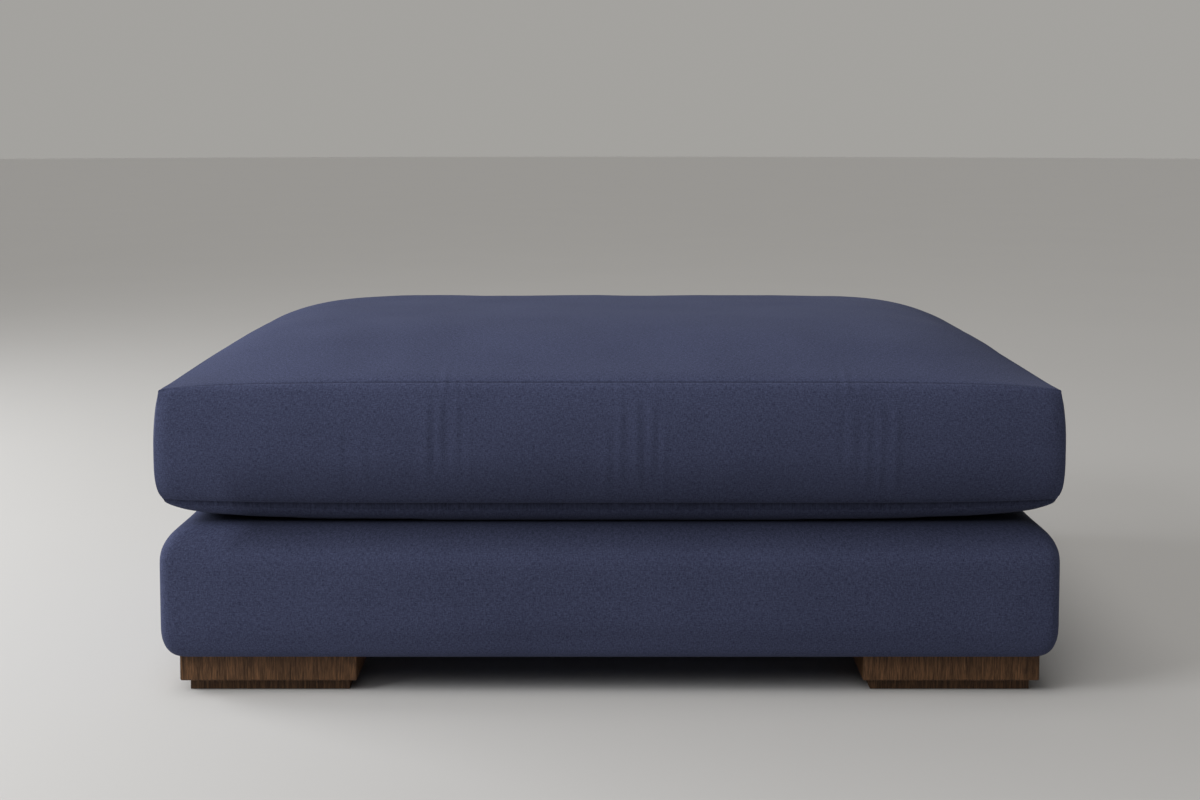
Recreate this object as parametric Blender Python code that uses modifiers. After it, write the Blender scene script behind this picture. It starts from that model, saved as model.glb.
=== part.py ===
"""A rectangular upholstered ottoman.

A loose boxed cushion with a plump crowned top lies on an upholstered box base. The base stands on four
wide block feet, each on a smaller recessed plinth. Metres, +Z up, front towards -Y, origin on the floor
at the centre.
"""

import math

import bmesh
import bpy

OBJECT_NAME = "ottoman"

# Upholstered base: an upright box with padded edges.
BASE_WIDTH = 1.177
BASE_DEPTH = 0.820
BASE_TOP = 0.2235  # height above the floor of the face that carries the cushion
BASE_TOP_EDGE_RADIUS = 0.036
BASE_BOTTOM_EDGE_INSET = 0.020  # the bottom edge is a quarter ellipse, taller than it is deep
BASE_BOTTOM_EDGE_HEIGHT = 0.038
BASE_CORNER_RADIUS = 0.018
BASE_SWELL = 0.003  # how far the middle of each padded side stands out

# Cushion: a top and a bottom panel sewn to a boxing strip that goes round the four sides.
CUSHION_WIDTH = 1.198  # across the widest part of the boxing
CUSHION_DEPTH = 0.839
WIDEST_LEVEL = 0.45  # share of the boxing's height where it is widest
TOP_SEAM_INSET = 0.010  # how far each seam lies inside the widest part of the boxing
TOP_SEAM_INSET_POWER = 2.2  # a slow curve up to the top seam
BOTTOM_SEAM_INSET = 0.013
BOTTOM_SEAM_INSET_POWER = 6  # and a quick turn under to the bottom seam
SEAM_DRAW_IN = 0.004  # how far the seams pull in between the corners
CUSHION_CORNER = 0.030  # side of the square at each corner that is rounded
SEAM_CORNER_ROUNDNESS = 0.35  # 0 is a sharp corner, 1 a full round
BOXING_CORNER_ROUNDNESS = 0.9
SEAM_CREASE = 0.8

# Heights of the cushion, above its own flat underside. A fade power keeps a rise level until near an edge.
TOP_SEAM_CORNER_HEIGHT = 0.178
TOP_SEAM_LIFT = 0.012  # the front and back seams climb this far from a corner to their middle
TOP_SEAM_LIFT_FADE = 6
BOTTOM_SEAM_HEIGHT = 0.031
BOTTOM_SEAM_CORNER_LIFT = 0.004
CROWN_RISE = 0.0515  # the crown above the seams
CROWN_FADE_ACROSS = 8.5
CROWN_SHOULDER = 0.75  # below 1 the crown climbs steeply from the side seams
CROWN_FADE_ALONG = 3.5
CROWN_CORNER_DIP = 3.0  # how much faster the crown falls away at the corners than along the middle
UNDERSIDE_EDGE_RADIUS = 0.040  # round edge between the bottom seam and the flat underside
UNDERSIDE_CORNER_SPREAD = 3.0  # how much wider that round edge grows at the corners
CORNER_FADE = 6

# Feet: a wide walnut block on a recessed plinth under each corner.
PLINTH_HEIGHT = 0.0145
BLOCK_HEIGHT = 0.0355
BLOCK_WIDTH = 0.233
BLOCK_DEPTH = 0.115
BLOCK_INSET = 0.022  # from the side of the base
PLINTH_INSET = 0.011  # from the side of the block
BLOCK_EDGE = 0.0025
PLINTH_EDGE = 0.001
EDGE_SEGMENTS = 2
SHARP_ANGLE = math.radians(30)

GAP = 0.0003  # between pieces that touch

# Cage divisions: cells along half of each straight run, cells in a corner, and rings up a side.
CUSHION_RUN_CELLS = 5
BASE_RUN_CELLS = 3
CORNER_CELLS = 2
BOXING_LEVELS = (0.0, 0.06, 0.17, 0.45, 0.75, 0.92, 1.0)  # shares of the boxing's height
EDGE_STEPS = 4
CAGE_SIDE = 2.0  # a cage starts as a cube of this side, centred on its origin
ON_CAGE_FACE = 0.99  # a coordinate beyond this lies on a face of the cage

# Material looks: name, base colour in linear light, roughness, metallic.
CUSHION_CLOTH = ("cushion_cloth", (0.060, 0.068, 0.125), 0.92, 0.0)
BASE_CLOTH = ("base_cloth", (0.060, 0.068, 0.125), 0.92, 0.0)
WALNUT = ("dark_walnut", (0.078, 0.042, 0.026), 0.45, 0.0)
PLINTH_WOOD = ("plinth_walnut", (0.050, 0.028, 0.018), 0.55, 0.0)


def clear_scene():
    for obj in list(bpy.data.objects):
        bpy.data.objects.remove(obj, do_unlink=True)


def make_material(name, color, roughness, metallic):
    material = bpy.data.materials.new(name)
    material.use_nodes = True
    shader = material.node_tree.nodes["Principled BSDF"]
    shader.inputs["Base Color"].default_value = (*color, 1.0)
    shader.inputs["Roughness"].default_value = roughness
    shader.inputs["Metallic"].default_value = metallic
    return material


def add_piece(name, mesh, location, material, collection, parent):
    data = bpy.data.meshes.new(name)
    mesh.to_mesh(data)
    mesh.free()
    data.materials.append(material)
    data.shade_smooth()
    piece = bpy.data.objects.new(name, data)
    piece.location = location
    piece.parent = parent
    collection.objects.link(piece)
    return piece


def fade(share, power):
    """1 in the middle of a side and 0 at its ends, level until near the ends for a high power."""
    return max(0.0, 1 - abs(share) ** power)


def stations(run_cells):
    """Places across one side, from -1 to 1, as pairs: share of the straight run, share of the corner."""
    run = [(math.sin(math.pi / 2 * i / run_cells), 0.0) for i in range(run_cells + 1)]
    corner = [(1.0, i / CORNER_CELLS) for i in range(1, CORNER_CELLS + 1)]
    half = run + corner
    return [(-straight, -bend) for straight, bend in reversed(half[1:])] + half


def cube_cage(cells):
    """A cube whose sides are cut into a grid of the given number of cells along X, Y and Z."""
    cage = bmesh.new()
    bmesh.ops.create_cube(cage, size=CAGE_SIDE)
    for axis, count in enumerate(cells):
        uncut = [e for e in cage.edges if abs(e.verts[0].co[axis] - e.verts[1].co[axis]) > ON_CAGE_FACE]
        bmesh.ops.subdivide_edges(cage, edges=uncut, cuts=count - 1)
    return cage


def shape_cage(cage, cells, point):
    """Move each vertex to point(i, j, k), where i, j and k are its own station numbers."""
    for vertex in cage.verts:
        shares = [co / CAGE_SIDE + 0.5 for co in vertex.co]
        vertex.co = point(*(round(share * count) for share, count in zip(shares, cells)))


def plan_point(across, along, half_x, half_y, corner, roundness, swell):
    """Place of a station pair on a rounded rectangle: x, y, and its shares u and v of the half sides."""
    (run_x, bend_x), (run_y, bend_y) = across, along
    u = (run_x * (half_x - corner) + bend_x * corner) / half_x
    v = (run_y * (half_y - corner) + bend_y * corner) / half_y
    reach = math.hypot(bend_x, bend_y)
    pull = 1.0
    if reach > 0:
        pull -= roundness * (1 - max(abs(bend_x), abs(bend_y)) / reach)
    x = run_x * (half_x - corner) + bend_x * corner * pull + swell * u * fade(v, 3)
    y = run_y * (half_y - corner) + bend_y * corner * pull + swell * v * fade(u, 3)
    return x, y, u, v


def top_seam_height(u):
    return TOP_SEAM_CORNER_HEIGHT + TOP_SEAM_LIFT * math.sqrt(fade(u, TOP_SEAM_LIFT_FADE))


def bottom_seam_height(u, v):
    return BOTTOM_SEAM_HEIGHT + BOTTOM_SEAM_CORNER_LIFT * abs(u * v) ** CORNER_FADE


def crowned_height(u, v):
    """A broad flat-topped crown that dips to a peak at each corner."""
    across = fade(u, CROWN_FADE_ACROSS) ** CROWN_SHOULDER
    along = fade(v, CROWN_FADE_ALONG) ** (1 + CROWN_CORNER_DIP * abs(u) ** CORNER_FADE)
    return top_seam_height(u) + CROWN_RISE * across * along


def underside_height(u, v, half_x, half_y):
    """Flat on the base, with round edges that turn up to the bottom seam and rise at the corners."""
    from_x = (1 - abs(u)) * half_x
    from_y = (1 - abs(v)) * half_y
    inward = from_x * from_y / (from_x + from_y) if from_x + from_y > 0 else 0.0
    radius = UNDERSIDE_EDGE_RADIUS * (1 + UNDERSIDE_CORNER_SPREAD * abs(u * v) ** CORNER_FADE)
    share = min(1.0, inward / radius)
    return bottom_seam_height(u, v) * (1 - math.sqrt(1 - (1 - share) ** 2))


def boxing_inset(level):
    """How far the boxing lies inside its widest part at a share of its height."""
    if level > WIDEST_LEVEL:
        return TOP_SEAM_INSET * ((level - WIDEST_LEVEL) / (1 - WIDEST_LEVEL)) ** TOP_SEAM_INSET_POWER
    return BOTTOM_SEAM_INSET * ((WIDEST_LEVEL - level) / WIDEST_LEVEL) ** BOTTOM_SEAM_INSET_POWER


def crease_seams(cage):
    """Keep the loops round the top and the bottom of the cage crisp where the panels meet the boxing."""
    crease = cage.edges.layers.float.new("crease_edge")
    for edge in cage.edges:
        ends = [v.co for v in edge.verts]
        if all(abs(co.z) > ON_CAGE_FACE and max(abs(co.x), abs(co.y)) > ON_CAGE_FACE for co in ends):
            edge[crease] = SEAM_CREASE


def make_cushion(material, collection, parent):
    """One filled solid: flat underside, boxing that bulges between its seams, crowned top."""
    places = stations(CUSHION_RUN_CELLS)
    cells = (len(places) - 1, len(places) - 1, len(BOXING_LEVELS) - 1)

    def point(i, j, k):
        level = BOXING_LEVELS[k]
        half_x = CUSHION_WIDTH / 2 - boxing_inset(level)
        half_y = CUSHION_DEPTH / 2 - boxing_inset(level)
        at_seam = abs(2 * level - 1) ** 3
        roundness = BOXING_CORNER_ROUNDNESS * (1 - at_seam) + SEAM_CORNER_ROUNDNESS * at_seam
        x, y, u, v = plan_point(
            places[i], places[j], half_x, half_y, CUSHION_CORNER, roundness, -SEAM_DRAW_IN * at_seam
        )
        if k == 0:
            return x, y, underside_height(u, v, half_x, half_y)
        if k == cells[2]:
            return x, y, crowned_height(u, v)
        low, high = bottom_seam_height(u, v), top_seam_height(u)
        return x, y, low + level * (high - low)

    cage = cube_cage(cells)
    crease_seams(cage)
    shape_cage(cage, cells, point)
    cushion = add_piece("cushion", cage, (0, 0, BASE_TOP + GAP), material, collection, parent)
    smooth = cushion.modifiers.new("filling", "SUBSURF")
    smooth.levels = 1
    smooth.render_levels = 1


def base_side_profile(height):
    """Rings up the side of the base as pairs: inset, height. Round at the bottom and at the top edge."""
    angles = [math.pi / 2 * step / EDGE_STEPS for step in range(EDGE_STEPS + 1)]
    bottom = [
        (BASE_BOTTOM_EDGE_INSET * (1 - math.sin(a)), BASE_BOTTOM_EDGE_HEIGHT * (1 - math.cos(a)))
        for a in angles
    ]
    top = [
        (BASE_TOP_EDGE_RADIUS * (1 - math.cos(a)), height - BASE_TOP_EDGE_RADIUS * (1 - math.sin(a)))
        for a in angles
    ]
    return [*bottom, (0.0, height / 2), *top]


def make_base(material, collection, parent):
    """A padded box whose round top edges meet in a mitre at each corner."""
    foot_height = PLINTH_HEIGHT + GAP + BLOCK_HEIGHT + GAP
    height = BASE_TOP - foot_height
    rings = base_side_profile(height)
    places = stations(BASE_RUN_CELLS)
    cells = (len(places) - 1, len(places) - 1, len(rings) - 1)

    def point(i, j, k):
        inset, z = rings[k]
        half_x, half_y = BASE_WIDTH / 2 - inset, BASE_DEPTH / 2 - inset
        swell = BASE_SWELL * math.sin(math.pi * z / height)
        x, y, _, _ = plan_point(places[i], places[j], half_x, half_y, BASE_CORNER_RADIUS, 1.0, swell)
        return x, y, z

    cage = cube_cage(cells)
    shape_cage(cage, cells, point)
    add_piece("base", cage, (0, 0, foot_height), material, collection, parent)


def make_block(name, size, edge, location, material, collection, parent):
    """A box with lightly rounded edges, standing on its own origin."""
    block = bmesh.new()
    bmesh.ops.create_cube(block, size=1.0)
    bmesh.ops.scale(block, vec=size, verts=block.verts)
    bmesh.ops.translate(block, vec=(0, 0, size[2] / 2), verts=block.verts)
    bmesh.ops.bevel(
        block, geom=list(block.edges), offset=edge, segments=EDGE_SEGMENTS, profile=0.5, affect="EDGES"
    )
    piece = add_piece(name, block, location, material, collection, parent)
    piece.data.set_sharp_from_angle(angle=SHARP_ANGLE)


def make_feet(block_material, plinth_material, collection, parent):
    from_x = BASE_WIDTH / 2 - BLOCK_INSET - BLOCK_WIDTH / 2
    from_y = BASE_DEPTH / 2 - BLOCK_INSET - BLOCK_DEPTH / 2
    block_size = (BLOCK_WIDTH, BLOCK_DEPTH, BLOCK_HEIGHT)
    plinth_size = (BLOCK_WIDTH - 2 * PLINTH_INSET, BLOCK_DEPTH - 2 * PLINTH_INSET, PLINTH_HEIGHT)
    block_bottom = PLINTH_HEIGHT + GAP
    for side, x in (("left", -from_x), ("right", from_x)):
        for end, y in (("front", -from_y), ("back", from_y)):
            corner = f"{end}_{side}"
            make_block(
                f"foot_plinth_{corner}", plinth_size, PLINTH_EDGE, (x, y, 0), plinth_material,
                collection, parent,
            )
            make_block(
                f"foot_block_{corner}", block_size, BLOCK_EDGE, (x, y, block_bottom), block_material,
                collection, parent,
            )


def main():
    clear_scene()
    collection = bpy.data.collections.new(OBJECT_NAME)
    bpy.context.scene.collection.children.link(collection)
    origin = bpy.data.objects.new(OBJECT_NAME, None)
    collection.objects.link(origin)
    make_cushion(make_material(*CUSHION_CLOTH), collection, origin)
    make_base(make_material(*BASE_CLOTH), collection, origin)
    make_feet(make_material(*WALNUT), make_material(*PLINTH_WOOD), collection, origin)


main()
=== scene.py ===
import math

import bpy
import numpy as np
from bpy.props import FloatProperty, FloatVectorProperty, IntProperty, PointerProperty
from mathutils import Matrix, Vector


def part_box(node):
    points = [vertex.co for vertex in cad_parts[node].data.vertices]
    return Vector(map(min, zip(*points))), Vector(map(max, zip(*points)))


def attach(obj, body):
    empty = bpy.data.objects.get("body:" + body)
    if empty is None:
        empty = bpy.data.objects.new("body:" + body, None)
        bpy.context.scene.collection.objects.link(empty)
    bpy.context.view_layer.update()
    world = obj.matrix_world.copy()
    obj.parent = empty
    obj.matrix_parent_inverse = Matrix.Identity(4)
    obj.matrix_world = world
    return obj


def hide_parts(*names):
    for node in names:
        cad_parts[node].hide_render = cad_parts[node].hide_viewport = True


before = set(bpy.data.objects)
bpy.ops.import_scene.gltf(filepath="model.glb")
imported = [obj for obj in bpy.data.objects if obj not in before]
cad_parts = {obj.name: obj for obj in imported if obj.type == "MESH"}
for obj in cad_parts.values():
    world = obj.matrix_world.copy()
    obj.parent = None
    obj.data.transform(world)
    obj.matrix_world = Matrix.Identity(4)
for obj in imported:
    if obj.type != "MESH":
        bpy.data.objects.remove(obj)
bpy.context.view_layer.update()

bl_info = {
    "name": "Upholstered Ottoman",
    "version": (1, 0, 0),
    "blender": (4, 5, 0),
    "location": "View3D > Sidebar > Ottoman",
    "description": "Dresses a boxed-cushion ottoman in navy cloth on walnut feet",
    "category": "Object",
}

BODY = "root"

# The photograph's frame, for the camera.
PHOTO_WIDTH = 1200
OPTICAL_COLUMN = 609.75  # the picture column that the camera's axis passes through
SENSOR_WIDTH = 36.0

# The stage.
FLOOR_RADIUS = 40.0
FLOOR_PATCH_SHADE = 0.97  # how light the floor's darker patches are
FLOOR_PATCH_SCALE = 1.5
FLOOR_ROUGHNESS, FLOOR_SPECULAR = 0.85, 0.2
LIGHT_TARGET = (0.0, 0.0, 0.3)
DAYLIGHT = (0.95, 0.97, 1.0)
WINDOW_PLACE, WINDOW_SIZE = (-2.6, -1.5, 1.9), 1.4
SIDE_PLACE, SIDE_SIZE = (-3.4, 0.6, 1.6), 1.4
CEILING_COLOUR, CEILING_SOURCE = (1.0, 0.98, 0.95), (-0.20, -0.16, 0.965)
FRONT_COLOUR, FRONT_SOURCE = (1.0, 1.0, 1.0), (-0.10, -0.65, 0.76)
FAR_LIGHT_SPREAD = math.radians(42)
FAR_LIGHT_DISTANCE = 4

# Cushion, as sewn: a top and a bottom panel on a boxing strip.
CUSHION_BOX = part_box("cushion")
CUSHION_WIDTH = 1.192
CUSHION_DEPTH = 0.839
WIDEST_LEVEL = 0.45  # share of the boxing's height at which it is widest
TOP_SEAM_INSET = 0.010
TOP_SEAM_INSET_POWER = 2.2
BOTTOM_SEAM_INSET = 0.013
BOTTOM_SEAM_INSET_POWER = 4
SEAM_DRAW_IN = 0.004  # how far the middle of a side is drawn in at its seams
SEAM_DRAW_IN_POWER = 3
SIDE_SWELL_FADE = 3
CONTACT_RISE = 0.002  # how far the padding lifts the cover where the cushion rests on it
BOTTOM_SEAM_SHARE = 0.3  # how deep the bottom seam dips beside the top one
CUSHION_CORNER = 0.030
SEAM_CORNER_ROUNDNESS = 0.35
BOXING_CORNER_ROUNDNESS = 0.9
TOP_SEAM_CORNER_HEIGHT = 0.1780
TOP_SEAM_LIFT = 0.0110
TOP_SEAM_LIFT_FADE = 6
END_SEAM_LIFTS = (0.0110, 0.0070)  # how far the top seam rises in the middle of the left and the right end
END_SEAM_LIFT_FADE = 2
BOTTOM_SEAM_HEIGHT = 0.029
BOTTOM_SEAM_CORNER_LIFT = 0.007
CROWN_FADE_ACROSS = 8.5
CROWN_SHOULDER = 0.75
CROWN_END_DROP = (0.8, 0.010)  # share of the crown missing at the end seams, and the width that this takes
CROWN_FADE_ALONG = 3.5
CROWN_CORNER_DIPS = (3.0, 1.2)  # how much slower the crown rises at the front and the back corners
PANEL_ROLL = (0.005, 0.010)  # how far the top panel rolls down to its long seams, and over what width
UNDERSIDE_EDGE_RADIUS = 0.025
UNDERSIDE_CORNER_SPREAD = 3.0
CORNER_FADE = 6

# Base: a padded box with round edges and mitred corners.
BASE_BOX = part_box("base")
BASE_WIDTH = 1.177
BASE_DEPTH = 0.820
BASE_TOP_EDGE_RADIUS = 0.046
BASE_LONG_EDGE_SHARE = 0.68  # how far the front and back edges are rounded beside the ends'
BASE_BOTTOM_EDGE_INSET = 0.020
BASE_BOTTOM_EDGE_HEIGHT = 0.038
BASE_CORNER_RADIUS = 0.018
BASE_SWELL = 0.003

# How the boxing swells between its corners: a round shoulder below each seam.
SHOULDER_TOP = (0.016, 0.038)  # inset at the seam and height of the shoulder
SHOULDER_BOTTOM = (0.018, 0.045)
SHOULDER_FADE = 10
STITCH_DISTANCE = 0.007  # from a seam to the row of stitches beside it
STITCH_GROOVE = 0.0013  # half width of the groove that the stitches pull

# The painted shade in the fold between cushion and base: from and to which distance the cloth grows lighter,
# and its two ends.
CUSHION_FOLD_SHADE = (0.000, 0.100)
BASE_FOLD_SHADE = (0.007, 0.036)
FOLD_SHADE_ENDS = (0.465, 0.550)  # left and right: the painted shade ends nearer the middle on the left, where the light from the left reaches into the fold
FOLD_SHADE_END_FADE = 0.040

# Cells of the cloth meshes, with finer ones where the boxing puckers.
CELL = 0.017
FINE_CELL = 0.0072
PANEL_STEPS = (0.0012, 0.003, 0.006, 0.010, 0.015, 0.022, 0.030)  # rows of a panel beside its edge
BOXING_STEPS = (0.0008, 0.002, 0.0033, 0.0045, 0.0057, 0.008, 0.012, 0.018, 0.026)  # rows beside a seam
PUCKERED_SPANS = ((-0.365, -0.300), (-0.250, -0.180), (-0.040, 0.085), (0.280, 0.375))
BASE_EDGE_RINGS = 9  # rings round each padded edge of the base
BASE_SIDE_RINGS = 10
SEAM_CREASE = 0.6
ON_FACE = 1e-5  # a point nearer than this lies on a face of the cut block
ON_PANEL = 1e-4  # the same, as a share of the boxing's height

# Which points of a cover the filling may move, and how far from a seam, corner or edge they are quite free.
HELD_BELOW = 0.15  # a point freer than this moves in the simulation
RESTING_GAP = 0.0005  # cloth this near to what it rests on stays there
FREE_FROM_SEAM = 0.05
CUSHION_CORNER_REACH = 0.05
BASE_CORNER_REACH = 0.08
BASE_EDGE_SHARE = 0.15

# The upholstery cloth as Blender simulates it.
CLOTH_STEPS = 5
CLOTH_MASS = 0.3
CLOTH_STIFFNESS, CLOTH_SHEAR, CLOTH_BENDING = 15, 5, 0.5

# Unevenness of the stuffed cloth: width of its bumps, seed and height.
CUSHION_UNEVENNESS = ((0.11, 3, 0.0008), (0.045, 5, 0.00025))
BASE_UNEVENNESS = ((0.13, 7, 0.0005), (0.05, 9, 0.00015))
EVEN_NEAR_SEAM = 0.03
WAVES = 14  # sine waves that make up the cloth's unevenness

# The dip at a seam, as shares of its depth and width elsewhere.
BOXING_LIP_SHARE = 0.35
CORNER_SEAM_DROP = 0.8

# Puckers of the front of the boxing: place along it, low and high share of its height, side lean, height.
FRONT_PUCKERS = (
    (-0.347, 0.08, 0.78, 0.001, 0.7),
    (-0.318, 0.16, 0.70, -0.001, 0.6),
    (-0.266, 0.30, 0.80, 0.001, 0.5),
    (-0.236, 0.22, 0.94, 0.001, 1.1),
    (-0.218, 0.30, 0.95, -0.001, 1.0),
    (-0.197, 0.28, 0.92, 0.001, 0.8),
    (-0.180, 0.12, 0.70, 0.001, 0.5),
    (-0.139, 0.10, 0.60, 0.001, 0.5),
    (-0.037, 0.12, 0.62, 0.001, 0.5),
    (-0.004, 0.05, 0.70, 0.002, 0.7),
    (0.014, 0.20, 0.93, 0.001, 1.0),
    (0.035, 0.15, 0.95, -0.001, 1.1),
    (0.054, 0.25, 0.94, 0.001, 1.0),
    (0.070, 0.05, 0.70, 0.001, 0.7),
    (0.098, 0.40, 0.94, -0.001, 0.6),
    (0.292, 0.25, 0.90, 0.001, 0.6),
    (0.312, 0.30, 0.94, 0.002, 0.7),
    (0.330, 0.05, 0.80, 0.001, 0.7),
    (0.348, 0.08, 0.94, 0.002, 0.8),
    (0.368, 0.06, 0.92, 0.001, 1.0),
    (0.510, 0.10, 0.80, 0.001, 0.6),
)
PUCKER_WIDTH = 0.0036
PUCKER_WIDTH_SPREAD = (0.95, 0.55)  # least share of that width, and how much more it may be
PUCKER_WIDTH_TURN = 0.618
PUCKER_STRENGTH = (0.7, 0.4)  # at the bottom of the boxing, and what is added at its top
PUCKER_TROUGH = 0.4  # depth of the trough beside a pucker
PANEL_TROUGH = 0.5
TROUGH_OFFSET = 1.9  # distance of the trough, in widths of the pucker
END_PUCKERS = 9  # on each end, drawn at random
END_PUCKER_WIDTH = 0.009
END_PUCKER_MARGIN = 0.12
END_PUCKER_REACH, SHORTEST_PUCKER = (0.05, 0.92), 0.3  # shares of the boxing's height
END_PUCKER_LEAN, END_PUCKER_HEIGHTS = 0.006, (0.5, 1.2)
PUCKER_SEED = 11
# Puckers that run on over the front seam: place along it, reach over the panel, height.
PANEL_PUCKERS = (
    (-0.214, 0.10, 1.0),
    (-0.200, 0.08, 0.8),
    (-0.187, 0.06, 0.6),
    (0.012, 0.06, 0.6),
    (0.058, 0.07, 0.7),
    (0.290, 0.08, 0.7),
    (0.306, 0.10, 1.0),
    (0.324, 0.07, 0.7),
)
PANEL_PUCKER_START = 0.004  # distance from the front seam at which they begin
PANEL_PUCKER_RISE = 0.012  # distance over which they rise
ALMOST_TOP = 0.97

# Cloth: what makes up its shade, the dark of a seam (from and to which distance, and how dark), and its nap.
THREAD_SHARE, FLECK_SHARE, CLOUD_SHARE = 0.56, 0.38, 0.06
STREAK_SCALES = (1.1, 0.28)  # of the shades of the threads, across and along them
THREAD_WANDER = 0.6  # how far threads stray, as a share of their spacing
DRIFT_SCALE = 140.0
FLECK_SIZE = 0.0018
CLOUD_SCALE = 9.0
VALLEY_SHADE = 0.75  # how light the cloth is between the threads
SEAM_SHADE_REACH, SEAM_SHADE = (0.0003, 0.0022), 0.64
CLOTH_ROUGHNESS_SPREAD = 0.05
CLOTH_SPECULAR = 0.05
NAP_ROUGHNESS, NAP_TINT = 0.45, (0.72, 0.78, 1.0, 1.0)
CLOTH_BUMP = {"Strength": 0.35, "Distance": 0.0004}

# Walnut.
GRAIN_BAND_WIDTH = 0.0038
GRAIN_STRETCH = 0.06
PORES_TO_A_BAND = 3.2
PORE_SHARE = 0.62  # how dark the pores are
WOOD_DULLER, WOOD_SMOOTHER = 0.1, 0.06  # than the roughness, in the dark and in the light bands
WOOD_SPECULAR = 0.25
WOOD_BUMP = {"Strength": 0.4, "Distance": 0.0003}


class OttomanCushionSettings(bpy.types.PropertyGroup):
    crown: FloatProperty(
        name="Crown", description="How far the top panel's middle rises above its seams",
        default=0.0450, min=0.0, unit="LENGTH",
    )
    slack: FloatProperty(
        name="Slack", description="How far the cloth starts inside its filled shape",
        default=0.004, min=0.0, unit="LENGTH",
    )
    pressure: FloatProperty(
        name="Pressure", description="Pressure of the filling while the cloth is simulated",
        default=4.0, min=0.0,
    )
    travel: FloatProperty(
        name="Most Travel", description="The furthest that the filling may push the cloth",
        default=0.006, min=0.0, unit="LENGTH",
    )
    frames: IntProperty(
        name="Frames", description="How many frames the filling pushes for", default=20, min=1,
    )
    seam_depth: FloatProperty(
        name="Seam Depth", description="How deep the cloth dips into a seam",
        default=0.0018, min=0.0, unit="LENGTH",
    )
    seam_lip: FloatProperty(
        name="Seam Lip", description="Width of the round lip on the panel's side of a seam",
        default=0.009, min=0.001, unit="LENGTH",
    )
    stitch_depth: FloatProperty(
        name="Stitch Depth", description="How deep the row of stitches beside a seam pulls in",
        default=0.0006, min=0.0, unit="LENGTH",
    )
    pucker: FloatProperty(
        name="Pucker Height", description="Height of a pucker in the boxing",
        default=0.0009, min=0.0, unit="LENGTH",
    )


class OttomanBaseSettings(bpy.types.PropertyGroup):
    slack: FloatProperty(
        name="Slack", description="How far the cover starts inside its padded shape",
        default=0.0015, min=0.0, unit="LENGTH",
    )
    pressure: FloatProperty(
        name="Pressure", description="Pressure of the padding while the cloth is simulated",
        default=4.0, min=0.0,
    )
    travel: FloatProperty(
        name="Most Travel", description="The furthest that the padding may push the cover",
        default=0.002, min=0.0, unit="LENGTH",
    )
    frames: IntProperty(
        name="Frames", description="How many frames the padding pushes for", default=12, min=1,
    )


class OttomanClothSettings(bpy.types.PropertyGroup):
    dark: FloatVectorProperty(
        name="Dark Thread", description="Colour of the darkest threads", subtype="COLOR",
        default=(0.013, 0.0155, 0.035), min=0.0, max=1.0,
    )
    light: FloatVectorProperty(
        name="Light Thread", description="Colour of the lightest threads", subtype="COLOR",
        default=(0.106, 0.121, 0.218), min=0.0, max=1.0,
    )
    thread: FloatProperty(
        name="Thread Spacing", description="Distance from one thread to the next",
        default=0.0013, min=0.0002, unit="LENGTH",
    )
    # Painted shade: how dark the cloth's colour is made where it tucks into the fold.
    tucked: FloatProperty(
        name="Tucked Shade", description="How light the cloth stays where it tucks into the fold",
        subtype="FACTOR", default=0.55, min=0.0, max=1.0,
    )
    roughness: FloatProperty(
        name="Roughness", description="How dull the cloth is", subtype="FACTOR",
        default=0.88, min=0.0, max=1.0,
    )
    sheen: FloatProperty(
        name="Nap", description="Strength of the pale edge that the nap catches", subtype="FACTOR",
        default=0.06, min=0.0, max=1.0,
    )


class OttomanWoodSettings(bpy.types.PropertyGroup):
    dark: FloatVectorProperty(
        name="Dark Grain", description="Colour of the pores and dark bands", subtype="COLOR",
        default=(0.026, 0.012, 0.005), min=0.0, max=1.0,
    )
    light: FloatVectorProperty(
        name="Light Grain", description="Colour of the light bands", subtype="COLOR",
        default=(0.250, 0.121, 0.053), min=0.0, max=1.0,
    )
    # Painted shade: the plinths are the same walnut as the blocks, darkened because they sit recessed in
    # shade under them.
    plinth_painted_shade: FloatProperty(
        name="Plinth Tint", description="How light the plinths are beside the blocks", subtype="FACTOR",
        default=0.75, min=0.0, max=1.0,
    )
    roughness: FloatProperty(
        name="Roughness", description="How dull the oiled wood is", subtype="FACTOR",
        default=0.5, min=0.0, max=1.0,
    )


class OttomanStageSettings(bpy.types.PropertyGroup):
    floor: FloatVectorProperty(
        name="Floor", description="Colour of the plain floor", subtype="COLOR",
        default=(0.55, 0.54, 0.525), min=0.0, max=1.0,
    )
    room: FloatVectorProperty(
        name="Room", description="Colour of the dim light from all round", subtype="COLOR",
        default=(0.07, 0.07, 0.07), min=0.0, max=1.0,
    )
    wall: FloatVectorProperty(
        name="Wall", description="Colour of the pale light low down behind the ottoman", subtype="COLOR",
        default=(0.37, 0.362, 0.345), min=0.0, max=1.0,
    )
    window_power: FloatProperty(
        name="Window Power", description="Power of the soft light at the front left",
        default=57.0, min=0.0, unit="POWER",
    )
    side_power: FloatProperty(
        name="Side Power", description="Power of the soft light at the left end",
        default=60.0, min=0.0, unit="POWER",
    )
    ceiling_strength: FloatProperty(
        name="Ceiling Strength", description="Strength of the even light from above",
        default=1.24, min=0.0,
    )
    front_strength: FloatProperty(
        name="Front Strength", description="Strength of the even light from high in front",
        default=0.42, min=0.0,
    )
    lens: FloatProperty(
        name="Lens", description="Focal length of the camera in millimetres",
        default=44.877, min=1.0,
    )
    camera: FloatVectorProperty(
        name="Camera", description="Where the camera stands", subtype="TRANSLATION",
        default=(0.0, -2.3193, 0.7389),
    )
    pitch: FloatProperty(
        name="Pitch", description="How far the camera looks down", subtype="ANGLE",
        default=math.radians(3.423),
    )
    shift: FloatProperty(
        name="Shift", description="How far the picture is moved down, as a share of its width",
        default=-0.15,
    )


# ---- cloth meshes ----


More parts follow.
